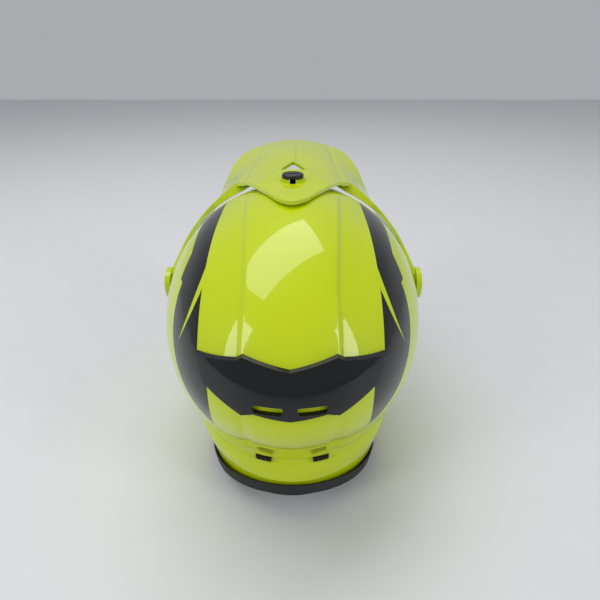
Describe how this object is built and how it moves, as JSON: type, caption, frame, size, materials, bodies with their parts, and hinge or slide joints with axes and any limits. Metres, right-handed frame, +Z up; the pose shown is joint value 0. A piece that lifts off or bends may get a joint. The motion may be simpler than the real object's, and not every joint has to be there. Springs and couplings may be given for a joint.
{
  "type": "motocross helmet",
  "caption": "Full-face motocross helmet with a tilting peak, a sliding mouth vent, foam liners, pads and a D-ring chin strap.",
  "frame": {"origin": "on the plane the helmet stands on, below the highest point of the crown; the box of the part is centred on it within 2 mm", "axes": "+Z up, -Y towards the wearer's front and the tip of the peak, +X towards the wearer's left"},
  "size_m": [0.2746, 0.3721, 0.2902],
  "materials": {
    "shell": "gloss paint under clear lacquer",
    "peak": "gloss moulded",
    "gloss_black": "gloss moulded",
    "vent_plastic": "fine moulded texture",
    "rubber_trim": "matt extruded",
    "eps": "beaded foam",
    "padding": "brushed knit",
    "webbing": "woven",
    "steel": "brushed",
    "screw_nylon": "satin moulded",
    "brass_insert": "turned"
  },
  "bodies": {
    "helmet": {"shell": "shell", "rear_spoiler": "gloss_black", "lower_edge_trim": "rubber_trim", "eye_port_trim": "rubber_trim", "eps_liner": "eps", "eps_chin_bar": "eps", "comfort_liner": "padding", "cheek_pad_left": "padding", "cheek_pad_right": "padding", "neck_roll": "padding", "mouth_vent_frame": "gloss_black", "mouth_vent_grille": "vent_plastic", "nose_guard": "vent_plastic", "peak_side_screws": "screw_nylon", "peak_side_inserts": "brass_insert", "peak_centre_screw": "screw_nylon", "peak_centre_insert": "brass_insert", "rear_duct_screens": "vent_plastic", "lower_exhaust_inserts": "vent_plastic", "crown_vent_inserts": "vent_plastic", "strap_anchor_plates": "steel", "strap_rivets": "steel", "chin_strap_left": "webbing", "chin_strap_right": "webbing", "strap_snap": "screw_nylon"},
    "peak": {"peak": "peak"},
    "vent_shutter": {"mouth_vent_shutter": "vent_plastic"},
    "inner_ring": {"d_ring_inner": "steel"},
    "outer_ring": {"d_ring_outer": "steel"}
  },
  "joints": [
    {"name": "peak_tilt", "type": "hinge", "parent": "helmet", "child": "peak", "pos_m": [0, -0.012, 0.168], "axis": [-1, 0, 0], "range_deg": [-4, 2]},
    {"name": "vent_slide", "type": "slide", "parent": "helmet", "child": "vent_shutter", "axis": [0, 0, 1], "range_m": [0, 0.0037]},
    {"name": "inner_ring_swing", "type": "hinge", "parent": "helmet", "child": "inner_ring", "pos_m": [-0.0108, 0.038, 0.03], "axis": [0, -1, 0], "range_deg": [0, 60]},
    {"name": "outer_ring_swing", "type": "hinge", "parent": "helmet", "child": "outer_ring", "pos_m": [-0.0152, 0.038, 0.03], "axis": [0, 1, 0], "range_deg": [0, 60]}
  ]
}
